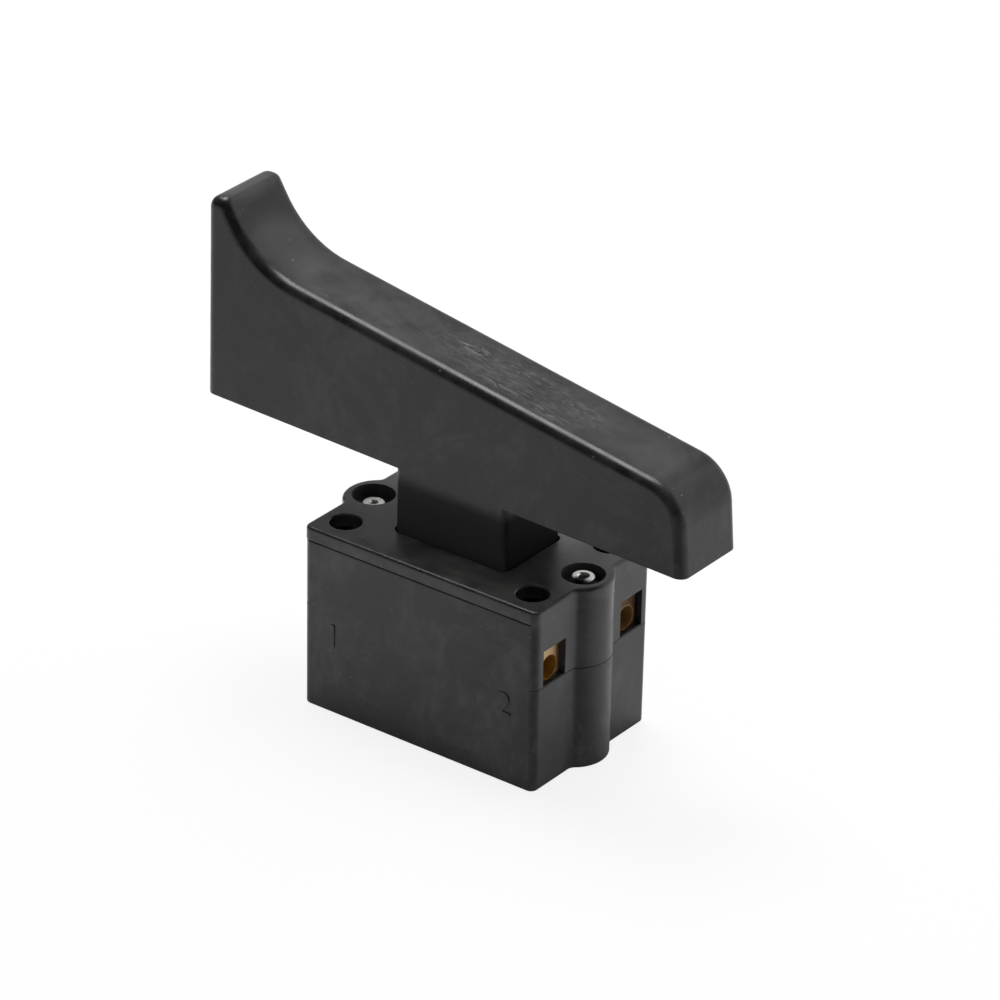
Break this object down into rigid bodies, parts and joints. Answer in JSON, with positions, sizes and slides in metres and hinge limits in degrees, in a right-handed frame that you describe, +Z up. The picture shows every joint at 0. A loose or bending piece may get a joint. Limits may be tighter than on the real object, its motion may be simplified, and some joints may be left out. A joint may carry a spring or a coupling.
{
  "type": "power tool trigger switch",
  "caption": "Trigger switch for a hand-held power tool: riveted moulded housing with a wire window at each corner and a long hooked finger trigger on a sprung plunger.",
  "frame": {"origin": "centre of the housing's bottom face", "axes": "+X along the housing towards the trigger's low, rounded end; -Y is the front long face; +Z up along the plunger, against the direction of pressing"},
  "size_m": [0.0774, 0.025, 0.065],
  "materials": {
    "housing": "black moulded thermoset, fine grain, a little glossy on the cover",
    "trigger": "black moulded plastic, satin, lightly scuffed on the finger face",
    "carrier": "natural moulded plastic",
    "brass": "machined brass",
    "copper": "rolled copper alloy strip",
    "silver": "silver contact alloy",
    "steel": "zinc-plated steel",
    "spring": "drawn spring wire",
    "rivet": "bright tubular rivet"
  },
  "bodies": {
    "housing": {"base_case": "housing", "top_cover": "housing", "rivet_left": "rivet", "rivet_right": "rivet", "return_spring": "spring", "terminal_block_front_left": "brass", "clamp_screw_front_left": "steel", "contact_strip_front_left": "copper", "fixed_contact_front_left": "silver", "terminal_block_front_right": "brass", "clamp_screw_front_right": "steel", "contact_strip_front_right": "copper", "fixed_contact_front_right": "silver", "terminal_block_rear_left": "brass", "clamp_screw_rear_left": "steel", "contact_strip_rear_left": "copper", "fixed_contact_rear_left": "silver", "terminal_block_rear_right": "brass", "clamp_screw_rear_right": "steel", "contact_strip_rear_right": "copper", "fixed_contact_rear_right": "silver"},
    "trigger": {"trigger": "trigger", "contact_carrier": "carrier", "carrier_pin": "steel", "contact_spring_front": "spring", "contact_spring_rear": "spring"},
    "bridge_front": {"bridge_front": "copper", "moving_contact_front_left": "silver", "moving_contact_front_right": "silver"},
    "bridge_rear": {"bridge_rear": "copper", "moving_contact_rear_left": "silver", "moving_contact_rear_right": "silver"}
  },
  "joints": [
    {"name": "trigger_press", "type": "slide", "parent": "housing", "child": "trigger", "axis": [0, 0, -1], "range_m": [0, 0.006], "stiffness_N_per_m": 1000, "springref_m": -0.0025, "deforming": ["return_spring"]},
    {"name": "bridge_front_lift", "type": "slide", "parent": "trigger", "child": "bridge_front", "axis": [0, 0, 1], "range_m": [0, 0.00271], "deforming": ["contact_spring_front"]},
    {"name": "bridge_rear_lift", "type": "slide", "parent": "trigger", "child": "bridge_rear", "axis": [0, 0, 1], "range_m": [0, 0.00271], "deforming": ["contact_spring_rear"]}
  ],
  "couplings": [
    {"joint": "bridge_front_lift", "follows": "trigger_press", "ratio": 0.452},
    {"joint": "bridge_rear_lift", "follows": "trigger_press", "ratio": 0.452}
  ]
}
